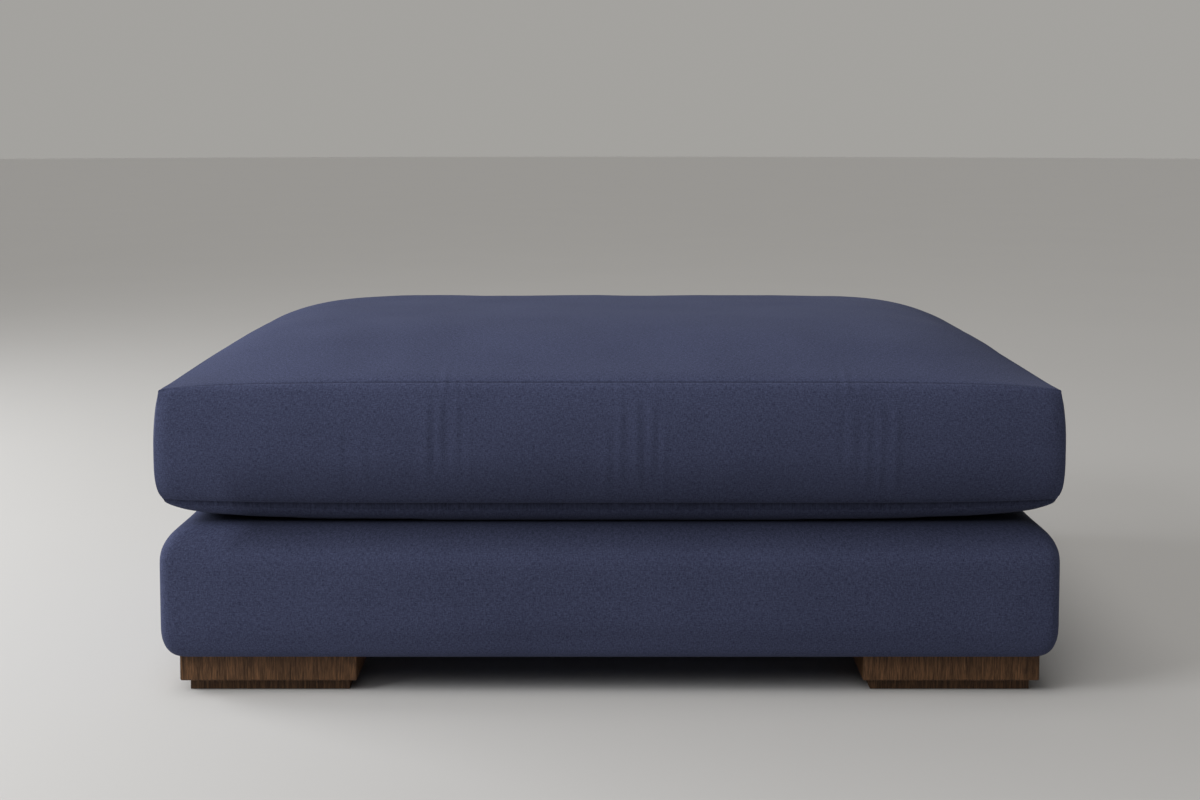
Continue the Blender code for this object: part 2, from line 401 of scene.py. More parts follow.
def stations(half, spans=()):
    """Places across a side from -half to half: close beside both ends and inside the spans."""
    inner = half - PANEL_STEPS[-1]
    ends = [half - step for step in PANEL_STEPS]
    places = [-inner]
    while places[-1] < inner:
        here = places[-1]
        fine = any(low <= here < high for low, high in spans)
        places.append(here + (FINE_CELL if fine else CELL))
    stretch = 2 * inner / (places[-1] + inner)
    run = [-inner + (place + inner) * stretch for place in places[1:-1]]
    return sorted([-end for end in ends] + ends + run)


def rise_stations(low, high):
    """Places up a side, close beside its two ends."""
    first, last = low + BOXING_STEPS[-1], high - BOXING_STEPS[-1]
    count = max(1, round((last - first) / CELL))
    run = [first + (last - first) * i / count for i in range(1, count)]
    return sorted([low + s for s in BOXING_STEPS] + [high - s for s in BOXING_STEPS] + run)


def select_only(piece):
    bpy.ops.object.select_all(action="DESELECT")
    piece.select_set(True)
    bpy.context.view_layer.objects.active = piece


def cut_block(name, half_x, half_y, low, high, cuts):
    """A block cut into a grid of cells, with a UV map in metres on each face."""
    bpy.ops.object.select_all(action="DESELECT")
    bpy.ops.mesh.primitive_cube_add(size=1.0, location=(0, 0, (low + high) / 2))
    block = bpy.context.object
    block.name = block.data.name = name
    block.scale = (2 * half_x, 2 * half_y, high - low)
    bpy.ops.object.transform_apply(location=True, rotation=False, scale=True)
    bpy.ops.object.mode_set(mode="EDIT")
    for axis, places in enumerate(cuts):
        normal = [float(i == axis) for i in range(3)]
        for place in places:
            bpy.ops.mesh.select_all(action="SELECT")
            bpy.ops.mesh.bisect(plane_co=[place * n for n in normal], plane_no=normal)
    bpy.ops.mesh.select_all(action="SELECT")
    bpy.ops.uv.cube_project(cube_size=1.0, correct_aspect=False)
    bpy.ops.object.mode_set(mode="OBJECT")
    return block


def read_points(mesh):
    points = np.empty(len(mesh.vertices) * 3)
    mesh.vertices.foreach_get("co", points)
    return points.reshape(-1, 3)


def read_normals(mesh):
    normals = np.empty(len(mesh.vertices) * 3)
    mesh.vertices.foreach_get("normal", normals)
    return normals.reshape(-1, 3)


def write_points(mesh, points):
    mesh.vertices.foreach_set("co", np.ascontiguousarray(points).ravel())
    mesh.update()


def fade(share, power):
    """1 in the middle of a side and 0 at its ends, level until near the ends for a high power."""
    return np.maximum(0.0, 1 - np.abs(share) ** power)


def plan(box_x, box_y, outer_x, outer_y, half_x, half_y, corner, roundness, swell):
    """Moves places on a sharp rectangle to a rounded one: x, y, and the shares u and v of its half sides."""
    run_x = np.clip(box_x / (outer_x - corner), -1, 1)
    run_y = np.clip(box_y / (outer_y - corner), -1, 1)
    bend_x = np.sign(box_x) * np.clip((np.abs(box_x) - outer_x + corner) / corner, 0, 1)
    bend_y = np.sign(box_y) * np.clip((np.abs(box_y) - outer_y + corner) / corner, 0, 1)
    u = (run_x * (half_x - corner) + bend_x * corner) / half_x
    v = (run_y * (half_y - corner) + bend_y * corner) / half_y
    reach = np.maximum(np.hypot(bend_x, bend_y), 1e-9)
    most = np.maximum(np.abs(bend_x), np.abs(bend_y))
    pull = np.where(reach > 1e-8, 1 - roundness * (1 - most / reach), 1.0)
    x = run_x * (half_x - corner) + bend_x * corner * pull + swell * u * fade(v, SIDE_SWELL_FADE)
    y = run_y * (half_y - corner) + bend_y * corner * pull + swell * v * fade(u, SIDE_SWELL_FADE)
    return x, y, u, v


def shoulder(distance, inset, height):
    """Inset of a round shoulder at a distance from its seam."""
    return inset * (1 - np.sqrt(1 - np.clip(1 - distance / height, 0, 1) ** 2))


def boxing_inset(level, height, swell):
    """How far the boxing lies inside its widest part: drawn tight at the corners, round between them."""
    up = np.clip((level - WIDEST_LEVEL) / (1 - WIDEST_LEVEL), 0, 1)
    down = np.clip((WIDEST_LEVEL - level) / WIDEST_LEVEL, 0, 1)
    tight = TOP_SEAM_INSET * up**TOP_SEAM_INSET_POWER + BOTTOM_SEAM_INSET * down**BOTTOM_SEAM_INSET_POWER
    full = shoulder((1 - level) * height, *SHOULDER_TOP) + shoulder(level * height, *SHOULDER_BOTTOM)
    return tight + (full - tight) * swell


def lip_dip(distance, depth, width):
    """How deep the round lip beside a seam lies at a distance from the seam."""
    share = np.clip(1 - distance / width, 0, 1)
    return depth * (1 - np.sqrt(1 - share**2))


def cushion_points(points, low, high, crown):
    """The sewn shape of the cushion, from the places on its cut block."""
    box_x, box_y, box_z = points.T
    outer_x, outer_y = CUSHION_WIDTH / 2, CUSHION_DEPTH / 2
    level = (box_z - low) / (high - low)
    on_top, below = level > 1 - ON_PANEL, level < ON_PANEL
    height = TOP_SEAM_CORNER_HEIGHT + TOP_SEAM_LIFT - BOTTOM_SEAM_HEIGHT
    half_x = outer_x - boxing_inset(level, height, fade(box_y / outer_y, SHOULDER_FADE))
    half_y = outer_y - boxing_inset(level, height, fade(box_x / outer_x, SHOULDER_FADE))
    at_seam = np.abs(2 * level - 1) ** SEAM_DRAW_IN_POWER
    roundness = BOXING_CORNER_ROUNDNESS * (1 - at_seam) + SEAM_CORNER_ROUNDNESS * at_seam
    x, y, u, v = plan(
        box_x, box_y, outer_x, outer_y, half_x, half_y, CUSHION_CORNER, roundness, -SEAM_DRAW_IN * at_seam
    )
    inner = np.sqrt(fade(u, TOP_SEAM_LIFT_FADE))
    end_lift = np.where(u < 0, *END_SEAM_LIFTS) * fade(v, END_SEAM_LIFT_FADE)
    top_seam = TOP_SEAM_CORNER_HEIGHT + TOP_SEAM_LIFT * inner + end_lift * (1 - inner)
    corner = np.abs(u * v) ** CORNER_FADE
    bottom_seam = BOTTOM_SEAM_HEIGHT + BOTTOM_SEAM_CORNER_LIFT * corner
    from_x, from_y = (1 - np.abs(u)) * half_x, (1 - np.abs(v)) * half_y
    end_drop = CROWN_END_DROP[0] * np.exp(-from_x / CROWN_END_DROP[1])
    across = fade(u, CROWN_FADE_ACROSS) ** CROWN_SHOULDER * (1 - end_drop)
    corner_dip = np.where(v < 0, *CROWN_CORNER_DIPS) * np.abs(u) ** CORNER_FADE
    along = fade(v, CROWN_FADE_ALONG) ** (1 + corner_dip)
    inward = from_x * from_y / np.maximum(from_x + from_y, 1e-9)
    share = np.clip(inward / (UNDERSIDE_EDGE_RADIUS * (1 + UNDERSIDE_CORNER_SPREAD * corner)), 0, 1)
    underside = bottom_seam * (1 - np.sqrt(1 - (1 - share) ** 2))
    side = bottom_seam + level * (top_seam - bottom_seam)
    roll = PANEL_ROLL[0] * (1 - np.exp(-from_y / PANEL_ROLL[1])) * fade(u, CROWN_FADE_ACROSS)
    z = np.where(on_top, top_seam + roll + crown * across * along, np.where(below, underside, side))
    return np.stack([x, y, z + low - BOTTOM_SEAM_HEIGHT], axis=1)


def seam_distance(points, low, high, half_x, half_y):
    """Distance on the cut block from each place to its nearer seam, and 1 beside the top seam or 0."""
    from_x, from_y = half_x - np.abs(points[:, 0]), half_y - np.abs(points[:, 1])
    inward = from_x * from_y / np.maximum(np.hypot(from_x, from_y), 1e-9)
    from_top, from_low = high - points[:, 2], points[:, 2] - low
    flat = (from_top < ON_FACE) | (from_low < ON_FACE)
    return np.where(flat, inward, np.minimum(from_top, from_low)), (from_top < from_low).astype(float)


def fill_cloth(piece, free, settings):
    """Blows the cover up with Blender's cloth, caps how far each point moves, and keeps the result."""
    scene = bpy.context.scene
    start = read_points(piece.data)
    held = piece.vertex_groups.new(name="held")
    held.add([int(index) for index in np.flatnonzero(free < HELD_BELOW)], 1.0, "REPLACE")
    select_only(piece)
    cloth = piece.modifiers.new("filling", "CLOTH")
    cloth.settings.quality = CLOTH_STEPS
    cloth.settings.mass = CLOTH_MASS
    cloth.settings.tension_stiffness = CLOTH_STIFFNESS
    cloth.settings.compression_stiffness = CLOTH_STIFFNESS
    cloth.settings.shear_stiffness = CLOTH_SHEAR
    cloth.settings.bending_stiffness = CLOTH_BENDING
    cloth.settings.vertex_group_mass = "held"
    cloth.settings.use_pressure = True
    cloth.settings.uniform_pressure_force = settings.pressure
    cloth.settings.effector_weights.gravity = 0.0
    cloth.collision_settings.use_collision = False
    cloth.point_cache.frame_start = 1
    cloth.point_cache.frame_end = settings.frames
    for number in range(1, settings.frames + 1):
        scene.frame_set(number)
    bpy.ops.object.modifier_apply(modifier=cloth.name)
    scene.frame_set(1)
    piece.vertex_groups.clear()
    moved = read_points(piece.data) - start
    length = np.linalg.norm(moved, axis=1, keepdims=True)
    share = settings.travel * np.tanh(length / settings.travel) / np.maximum(length, 1e-9)
    write_points(piece.data, start + moved * share * free[:, None])


def smooth_once(piece):
    """One subdivision, applied."""
    select_only(piece)
    finer = piece.modifiers.new("finer", "SUBSURF")
    finer.levels = finer.render_levels = 1
    bpy.ops.object.modifier_apply(modifier=finer.name)
    bpy.ops.object.shade_smooth()


def crease_block_edges(piece, half_x, half_y, low, high):
    """Keeps the loops where the panels meet the boxing crisp."""
    mesh = piece.data
    points = read_points(mesh)
    flat = (np.abs(points[:, 2] - low) < ON_FACE) | (np.abs(points[:, 2] - high) < ON_FACE)
    side = (half_x - np.abs(points[:, 0]) < ON_FACE) | (half_y - np.abs(points[:, 1]) < ON_FACE)
    on_loop = flat & side
    ends = np.empty(len(mesh.edges) * 2, dtype=np.int32)
    mesh.edges.foreach_get("vertices", ends)
    ends = ends.reshape(-1, 2)
    crease = mesh.attributes.new("crease_edge", "FLOAT", "EDGE")
    crease.data.foreach_set("value", np.where(on_loop[ends].all(axis=1), SEAM_CREASE, 0.0))


def soft_noise(points, size, seed):
    """Smooth, repeatable unevenness from -1 to 1, with bumps about as wide as size."""
    rng = np.random.default_rng(seed)
    total = np.zeros(len(points))
    for _ in range(WAVES):
        direction = rng.normal(size=3)
        direction /= np.linalg.norm(direction)
        turn = 2 * math.pi / (size * rng.uniform(0.8, 1.8))
        total += np.sin(points @ direction * turn + rng.uniform(0, 2 * math.pi))
    return total / math.sqrt(WAVES * 2)


def unevenness(points, layers):
    """How far the stuffed cloth stands off its even shape."""
    return sum(soft_noise(points, size, seed) * height for size, seed, height in layers)


def pucker_width(number):
    """Width of a pucker of the front or back, so that neighbours differ."""
    least, more = PUCKER_WIDTH_SPREAD
    return PUCKER_WIDTH * (least + more * (number * PUCKER_WIDTH_TURN % 1))


def side_puckers():
    """Puckers of the other three sides: the back's like the front's, wider ones at the two ends."""
    rng = np.random.default_rng(PUCKER_SEED)
    drawn = [
        ("back", place, 1 - high, 1 - low, -lean, height, pucker_width(number))
        for number, (place, low, high, lean, height) in enumerate(FRONT_PUCKERS)
    ]
    reach = CUSHION_DEPTH / 2 - END_PUCKER_MARGIN
    for side in ("left", "right"):
        for place in rng.uniform(-reach, reach, size=END_PUCKERS):
            low, high = sorted(rng.uniform(*END_PUCKER_REACH, size=2))
            lean, height = rng.uniform(-END_PUCKER_LEAN, END_PUCKER_LEAN), rng.uniform(*END_PUCKER_HEIGHTS)
            drawn.append((side, place, low, max(high, low + SHORTEST_PUCKER), lean, height, END_PUCKER_WIDTH))
    return drawn


def pucker_section(offset, trough):
    """Across a pucker: its ridge, and the shallow trough on one side of it."""
    return np.exp(-(offset**2)) - trough * np.exp(-((offset - TROUGH_OFFSET) ** 2))


def pucker_heights(points, low, high):
    """Height of the puckers over the boxing and the panel's front edge, as a share of the tallest."""
    x, y, z = points.T
    level = (z - low) / (high - low)
    reach_x, reach_y = np.abs(x) - CUSHION_WIDTH / 2, np.abs(y) - CUSHION_DEPTH / 2
    sides = {
        "front": (x, (y < 0) & (reach_y > reach_x)),
        "back": (x, (y > 0) & (reach_y > reach_x)),
        "left": (y, (x < 0) & (reach_x >= reach_y)),
        "right": (y, (x > 0) & (reach_x >= reach_y)),
    }
    strength = PUCKER_STRENGTH[0] + PUCKER_STRENGTH[1] * level
    front = [("front", *pucker, pucker_width(number)) for number, pucker in enumerate(FRONT_PUCKERS)]
    total = np.zeros(len(points))
    for side, place, start, end, lean, height, width in front + side_puckers():
        along, mask = sides[side]
        middle, half = (start + end) / 2, (end - start) / 2
        rise = np.clip(1 - ((level - middle) / half) ** 4, 0, 1) ** 0.7 * strength
        offset = (along - place - lean * (level - middle) / half) / width
        total += mask * height * rise * pucker_section(offset, PUCKER_TROUGH)
    from_front = y + CUSHION_DEPTH / 2
    on_panel = (level > ALMOST_TOP) & (from_front > PANEL_PUCKER_START)
    for place, reach, height in PANEL_PUCKERS:
        rise = np.clip(1 - from_front / reach, 0, 1) * np.clip(from_front / PANEL_PUCKER_RISE, 0, 1)
        total += on_panel * height * rise * pucker_section((place - x) / PUCKER_WIDTH, PANEL_TROUGH)
    return total


def corner_freedom(points, half_x, half_y, reach):
    """0 at the four upright corners and 1 further than reach from them."""
    from_corner = np.maximum(half_x - np.abs(points[:, 0]), half_y - np.abs(points[:, 1]))
    return np.clip(from_corner / reach, 0, 1)


def write_attribute(piece, name, values):
    """Keeps a number for each point on the mesh, for the cloth's shade."""
    layer = piece.data.attributes.new(name, "FLOAT", "POINT")
    layer.data.foreach_set("value", values)


def write_fold_shade_openness(piece, from_fold, reach):
    """Keeps on the mesh how open to the room each point is, for the painted shade in the fold: 0 tucked into
    the fold, 1 free of it.
    """
    x = read_points(piece.data)[:, 0]
    at_end = np.clip((np.abs(x) - np.where(x < 0, *FOLD_SHADE_ENDS)) / FOLD_SHADE_END_FADE, 0, 1)
    near, far = reach
    along_fold = np.clip((from_fold - near) / (far - near), 0, 1)
    write_attribute(piece, "fold_shade_openness", np.maximum(along_fold, at_end))


def cushion_freedom(distance, on_boxing, resting, at_corner):
    """How far the filling may move each point: not at all at seams, upright corners and where it rests."""
    free = np.where(resting, 0.0, np.clip(distance / FREE_FROM_SEAM, 0, 1) ** 0.5)
    return np.where(on_boxing, free * (1 - at_corner), free)


def seam_relief(distance, near_top, on_boxing, at_corner, settings):
    """Depth of the seam's dip and the stitched groove, and the distance from the seam along the cloth."""
    by_top = near_top > 0.5
    inset = np.where(by_top, SHOULDER_TOP[0], SHOULDER_BOTTOM[0])
    rounded = np.where(by_top, shoulder(distance, *SHOULDER_TOP), shoulder(distance, *SHOULDER_BOTTOM))
    along_cloth = np.where(on_boxing, np.hypot(distance, inset - rounded), 1.0)
    groove = np.exp(-(((along_cloth - STITCH_DISTANCE) / STITCH_GROOVE) ** 2)) * settings.stitch_depth
    lip = np.where(on_boxing, settings.seam_lip * BOXING_LIP_SHARE, settings.seam_lip)
    depth = settings.seam_depth * (1 - CORNER_SEAM_DROP * at_corner)
    depth *= np.where(by_top, 1.0, BOTTOM_SEAM_SHARE)
    return lip_dip(distance, depth, lip) + groove, np.where(on_boxing, along_cloth, distance)


def make_cushion(settings):
    """The loose cushion: sewn shape, filled, seamed and puckered."""
    floor = CUSHION_BOX[0].z + CONTACT_RISE
    low, high = floor + BOTTOM_SEAM_HEIGHT, floor + TOP_SEAM_CORNER_HEIGHT
    half_x, half_y = CUSHION_WIDTH / 2, CUSHION_DEPTH / 2
    cuts = (stations(half_x, PUCKERED_SPANS), stations(half_y), rise_stations(low, high))
    piece = cut_block("ottoman_cushion", half_x, half_y, low, high, cuts)
    crease_block_edges(piece, half_x, half_y, low, high)
    block = read_points(piece.data)
    distance, near_top = seam_distance(block, low, high, half_x, half_y)
    on_boxing = (block[:, 2] < high - ON_FACE) & (block[:, 2] > low + ON_FACE)
    shape = cushion_points(block, low, high, settings.crown)
    write_points(piece.data, shape)
    normals = read_normals(piece.data)
    resting = shape[:, 2] < floor + RESTING_GAP
    at_corner = 1 - corner_freedom(block, half_x, half_y, CUSHION_CORNER_REACH)
    free = cushion_freedom(distance, on_boxing, resting, at_corner)
    write_points(piece.data, shape - normals * (settings.slack * free)[:, None])
    fill_cloth(piece, free, settings)
    filled = read_points(piece.data)
    normals = read_normals(piece.data)
    relief, from_seam = seam_relief(distance, near_top, on_boxing, at_corner, settings)
    loose = unevenness(filled, CUSHION_UNEVENNESS) * np.clip(distance / EVEN_NEAR_SEAM, 0, 1)
    rise = np.where(resting, 0.0, loose) - relief
    write_points(piece.data, filled + normals * rise[:, None])
    write_attribute(piece, "from_seam", from_seam)
    smooth_once(piece)
    smooth, normals = read_points(piece.data), read_normals(piece.data)
    puckers = pucker_heights(smooth, low, high) * settings.pucker
    write_points(piece.data, smooth + normals * puckers[:, None])
    # Where the painted shade of the fold lies on the cushion, by height above what it rests on.
    write_fold_shade_openness(piece, smooth[:, 2] - floor, CUSHION_FOLD_SHADE)
    return piece


def base_profile(low, high):
    """Rings up the side of the base as heights and insets, to place its rows on."""
    angles = np.linspace(0, math.pi / 2, BASE_EDGE_RINGS)
    bottom_height = BASE_BOTTOM_EDGE_HEIGHT * (1 - np.cos(angles))
    bottom_inset = BASE_BOTTOM_EDGE_INSET * (1 - np.sin(angles))
    top_height = high - low - BASE_TOP_EDGE_RADIUS * (1 - np.sin(angles))
    top_inset = BASE_TOP_EDGE_RADIUS * (1 - np.cos(angles))
    middle = np.linspace(bottom_height[-1], top_height[0], BASE_SIDE_RINGS)[1:-1]
    heights = np.concatenate([bottom_height, middle, top_height])
    insets = np.concatenate([bottom_inset, np.zeros(len(middle)), top_inset])
    return heights, insets


def base_points(points, low, high):
    """The padded shape of the base, from the places on its cut block."""
    box_x, box_y, box_z = points.T
    heights, insets = base_profile(low, high)
    rings = np.linspace(0, 1, len(heights))
    share = (box_z - low) / (high - low)
    height, inset = np.interp(share, rings, heights), np.interp(share, rings, insets)
    outer_x, outer_y = BASE_WIDTH / 2, BASE_DEPTH / 2
    swell = BASE_SWELL * np.sin(math.pi * height / (high - low))
    x, y, _, _ = plan(
        box_x, box_y, outer_x, outer_y, outer_x - inset, outer_y - inset * BASE_LONG_EDGE_SHARE,
        BASE_CORNER_RADIUS, 1.0, swell,
    )
    return np.stack([x, y, height + low], axis=1)


def make_base(settings):
    """The upholstered base: a cover pulled over a padded box."""
    low, high = BASE_BOX[0].z, BASE_BOX[1].z + CONTACT_RISE
    half_x, half_y = BASE_WIDTH / 2, BASE_DEPTH / 2
    rings = len(base_profile(low, high)[0])
    rises = [low + (high - low) * i / (rings - 1) for i in range(1, rings - 1)]
    piece = cut_block("ottoman_base", half_x, half_y, low, high, (stations(half_x), stations(half_y), rises))
    block = read_points(piece.data)
    shape = base_points(block, low, high)
    write_points(piece.data, shape)
    normals = read_normals(piece.data)
    flat = (shape[:, 2] > high - RESTING_GAP) | (shape[:, 2] < low + RESTING_GAP)
    up = (shape[:, 2] - low) / (high - low)
    free = np.where(flat, 0.0, np.clip(np.minimum(up, 1 - up) / BASE_EDGE_SHARE, 0, 1))
    free *= corner_freedom(block, half_x, half_y, BASE_CORNER_REACH)
    write_points(piece.data, shape - normals * (settings.slack * free)[:, None])
    fill_cloth(piece, free, settings)
    filled = read_points(piece.data)
    normals = read_normals(piece.data)
    loose = unevenness(filled, BASE_UNEVENNESS) * free
    write_points(piece.data, filled + normals * loose[:, None])
    smooth_once(piece)
    # Where the painted shade of the fold lies on the base, by depth below its top.
    write_fold_shade_openness(piece, high - read_points(piece.data)[:, 2], BASE_FOLD_SHADE)
    return piece


# ---- materials ----


def add_node(tree, kind, inputs=None, **settings):
    """A node with its settings, each input given a value or linked from a socket."""
    made = tree.nodes.new(kind)
    for key, value in settings.items():
        setattr(made, key, value)
    for key, value in (inputs or {}).items():
        if isinstance(value, bpy.types.NodeSocket):
            tree.links.new(value, made.inputs[key])
        else:
            made.inputs[key].default_value = value
    return made


def calc(tree, operation, *values):
    """A Math node's result."""
    return add_node(tree, "ShaderNodeMath", dict(enumerate(values)), operation=operation).outputs[0]


def vector_calc(tree, operation, *values, scale=None):
    inputs = dict(enumerate(values))
    if scale is not None:
        inputs["Scale"] = scale
    return add_node(tree, "ShaderNodeVectorMath", inputs, operation=operation).outputs[0]


def noise(tree, vector, scale, detail=2.0, roughness=0.5, distortion=0.0):
    inputs = {"Vector": vector, "Scale": scale, "Detail": detail}
    inputs.update({"Roughness": roughness, "Distortion": distortion})
    return add_node(tree, "ShaderNodeTexNoise", inputs)


def blend_colours(tree, share, first, second, kind="MIX"):
    inputs = {0: share, 6: first, 7: second}
    return add_node(tree, "ShaderNodeMix", inputs, data_type="RGBA", blend_type=kind).outputs[2]


def blend_values(tree, share, first, second):
    return add_node(tree, "ShaderNodeMix", {0: share, 2: first, 3: second}, data_type="FLOAT").outputs[0]


def remap(tree, value, low, high, new_low, new_high):
    inputs = {0: value, 1: low, 2: high, 3: new_low, 4: new_high}
    return add_node(tree, "ShaderNodeMapRange", inputs).outputs[0]


def new_group(name, inputs, outputs):
    """A shader node group with its sockets, and its two ends."""
    tree = bpy.data.node_groups.new(name, "ShaderNodeTree")
    for label, kind, default in inputs:
        socket = tree.interface.new_socket(label, in_out="INPUT", socket_type=kind)
        if default is not None:
            socket.default_value = default
    for label, kind in outputs:
        tree.interface.new_socket(label, in_out="OUTPUT", socket_type=kind)
    return tree, tree.nodes.new("NodeGroupInput"), tree.nodes.new("NodeGroupOutput")


def use_group(tree, group, inputs):
    return add_node(tree, "ShaderNodeGroup", inputs, node_tree=group)


def half_waves(tree, place):
    """The round backs of threads that lie side by side."""
    return calc(tree, "ABSOLUTE", calc(tree, "SINE", calc(tree, "MULTIPLY", place, math.pi)))


def thread_shade(tree, cells, stretch):
    """How light the yarn is, in streaks along the threads of one direction."""
    streaks = add_node(tree, "ShaderNodeMapping", {"Vector": cells, "Scale": stretch}).outputs[0]
    return noise(tree, streaks, 1.0, detail=2.0, roughness=0.6).outputs[0]


def plain_weave():
    """Threads over and under each other: their height, and how light each one is."""
    tree, given, result = new_group(
        "Plain Weave",
        [
            ("Vector", "NodeSocketVector", None),
            ("Thread Spacing", "NodeSocketFloat", 0.0013),
            ("Wander", "NodeSocketFloat", 0.5),
        ],
        [("Height", "NodeSocketFloat"), ("Thread Shade", "NodeSocketFloat")],
    )
    place, spacing = given.outputs["Vector"], given.outputs["Thread Spacing"]
    drift = noise(tree, place, DRIFT_SCALE, detail=1.0).outputs["Color"]
    drift = vector_calc(tree, "SUBTRACT", drift, (0.5, 0.5, 0.5))
    drift = vector_calc(tree, "SCALE", drift, scale=calc(tree, "MULTIPLY", spacing, given.outputs["Wander"]))
    moved = vector_calc(tree, "ADD", place, drift)
    cells = vector_calc(tree, "SCALE", moved, scale=calc(tree, "DIVIDE", 1.0, spacing))
    split = add_node(tree, "ShaderNodeSeparateXYZ", {0: cells})
    warp_place, weft_place = split.outputs[0], split.outputs[1]
    warp, weft = half_waves(tree, warp_place), half_waves(tree, weft_place)
    steps = calc(tree, "ADD", calc(tree, "FLOOR", warp_place), calc(tree, "FLOOR", weft_place))
    over = calc(tree, "FLOORED_MODULO", steps, 2.0)
    warp_height = calc(tree, "MULTIPLY", warp, calc(tree, "MULTIPLY_ADD", weft, 0.5, 0.5))
    weft_height = calc(tree, "MULTIPLY", weft, calc(tree, "MULTIPLY_ADD", warp, 0.5, 0.5))
    height = blend_values(tree, over, weft_height, warp_height)
    across, lengthwise = STREAK_SCALES
    warp_shade = thread_shade(tree, cells, (across, lengthwise, 1.0))
    weft_shade = thread_shade(tree, cells, (lengthwise, across, 1.0))
    shade = calc(tree, "MULTIPLY", calc(tree, "ADD", warp_shade, weft_shade), 0.5)
    tree.links.new(height, result.inputs["Height"])
    tree.links.new(remap(tree, shade, 0.32, 0.68, 0.0, 1.0), result.inputs["Thread Shade"])
    return tree


def heather():
    """The mixed shades of a spun yarn and broad, faint unevenness."""
    tree, given, result = new_group(
        "Heather",
        [("Vector", "NodeSocketVector", None), ("Fleck Size", "NodeSocketFloat", 0.003)],
        [("Flecks", "NodeSocketFloat"), ("Clouds", "NodeSocketFloat")],
    )
    place = given.outputs["Vector"]
    scale = calc(tree, "DIVIDE", 1.0, given.outputs["Fleck Size"])
    flecks = noise(tree, place, scale, detail=3.0, roughness=0.7).outputs[0]
    clouds = noise(tree, place, CLOUD_SCALE, detail=3.0, roughness=0.55).outputs[0]
    tree.links.new(remap(tree, flecks, 0.25, 0.75, 0.0, 1.0), result.inputs["Flecks"])
    tree.links.new(remap(tree, clouds, 0.3, 0.7, 0.0, 1.0), result.inputs["Clouds"])
    return tree


def wood_grain():
    """Straight grain that runs up Z: bands, fine pores and their depth."""
    tree, given, result = new_group(
        "Straight Grain",
        [("Vector", "NodeSocketVector", None), ("Band Width", "NodeSocketFloat", 0.006)],
        [("Bands", "NodeSocketFloat"), ("Pores", "NodeSocketFloat"), ("Height", "NodeSocketFloat")],
    )
    scale = calc(tree, "DIVIDE", 1.0, given.outputs["Band Width"])
    upright = {"Vector": given.outputs["Vector"], "Scale": (1.0, 1.0, GRAIN_STRETCH)}
    stretched = add_node(tree, "ShaderNodeMapping", upright).outputs[0]
    bands = noise(tree, stretched, scale, detail=5.0, roughness=0.75, distortion=0.3).outputs[0]
    finer = calc(tree, "MULTIPLY", scale, PORES_TO_A_BAND)
    fine = noise(tree, stretched, finer, detail=2.0, roughness=0.7).outputs[0]
    pores = remap(tree, fine, 0.40, 0.56, 1.0, 0.0)
    tree.links.new(remap(tree, bands, 0.3, 0.7, 0.0, 1.0), result.inputs["Bands"])
    tree.links.new(pores, result.inputs["Pores"])
    tree.links.new(calc(tree, "SUBTRACT", 1.0, pores), result.inputs["Height"])
    return tree


def shared_group(name, build):
    return bpy.data.node_groups.get(name) or build()


def new_material(name):
    material = bpy.data.materials.new(name)
    material.use_nodes = True
    tree = material.node_tree
    return material, tree, tree.nodes["Principled BSDF"]


def cloth_material(name, settings, seamed):
    """Navy cloth: heathered threads, a soft nap, the relief of the weave, and painted shade down in a seam
    and in the fold.
    """
    weave, flecked = shared_group("Plain Weave", plain_weave), shared_group("Heather", heather)
    material, tree, shader = new_material(name)
    coords = add_node(tree, "ShaderNodeTexCoord")
    on_cloth = {"Vector": coords.outputs["UV"], "Thread Spacing": settings.thread, "Wander": THREAD_WANDER}
    threads = use_group(tree, weave, on_cloth)
    yarn = use_group(tree, flecked, {"Vector": coords.outputs["Object"], "Fleck Size": FLECK_SIZE})
    shade = calc(tree, "MULTIPLY", threads.outputs["Thread Shade"], THREAD_SHARE)
    shade = calc(tree, "MULTIPLY_ADD", yarn.outputs["Flecks"], FLECK_SHARE, shade)
    shade = calc(tree, "MULTIPLY_ADD", yarn.outputs["Clouds"], CLOUD_SHARE, shade)
    colour = blend_colours(tree, shade, (*settings.dark, 1), (*settings.light, 1))
    valley = remap(tree, threads.outputs["Height"], 0.0, 0.5, VALLEY_SHADE, 1.0)
    colour = blend_colours(tree, 1.0, colour, valley, "MULTIPLY")
    if seamed:
        from_seam = add_node(tree, "ShaderNodeAttribute", attribute_name="from_seam").outputs["Fac"]
        in_seam = remap(tree, from_seam, *SEAM_SHADE_REACH, SEAM_SHADE, 1.0)
        colour = blend_colours(tree, 1.0, colour, in_seam, "MULTIPLY")
    # Painted shade in the fold between cushion and base: the colour is darkened to the tucked shade where the
    # cloth tucks in.
    fold_shade_openness = add_node(tree, "ShaderNodeAttribute", attribute_name="fold_shade_openness").outputs["Fac"]
    tucked = remap(tree, fold_shade_openness, 0.0, 1.0, settings.tucked, 1.0)
    colour = blend_colours(tree, 1.0, colour, tucked, "MULTIPLY")
    tree.links.new(colour, shader.inputs["Base Color"])
    smoothest = settings.roughness - CLOTH_ROUGHNESS_SPREAD
    dullest = settings.roughness + CLOTH_ROUGHNESS_SPREAD
    rough = remap(tree, yarn.outputs["Flecks"], 0.0, 1.0, smoothest, dullest)
    tree.links.new(rough, shader.inputs["Roughness"])
    relief = calc(tree, "MULTIPLY_ADD", yarn.outputs["Flecks"], 0.5, threads.outputs["Height"])
    bump = add_node(tree, "ShaderNodeBump", {"Height": relief, **CLOTH_BUMP})
    tree.links.new(bump.outputs[0], shader.inputs["Normal"])
    shader.inputs["Specular IOR Level"].default_value = CLOTH_SPECULAR
    shader.inputs["Sheen Weight"].default_value = settings.sheen
    shader.inputs["Sheen Roughness"].default_value = NAP_ROUGHNESS
    shader.inputs["Sheen Tint"].default_value = NAP_TINT
    return material


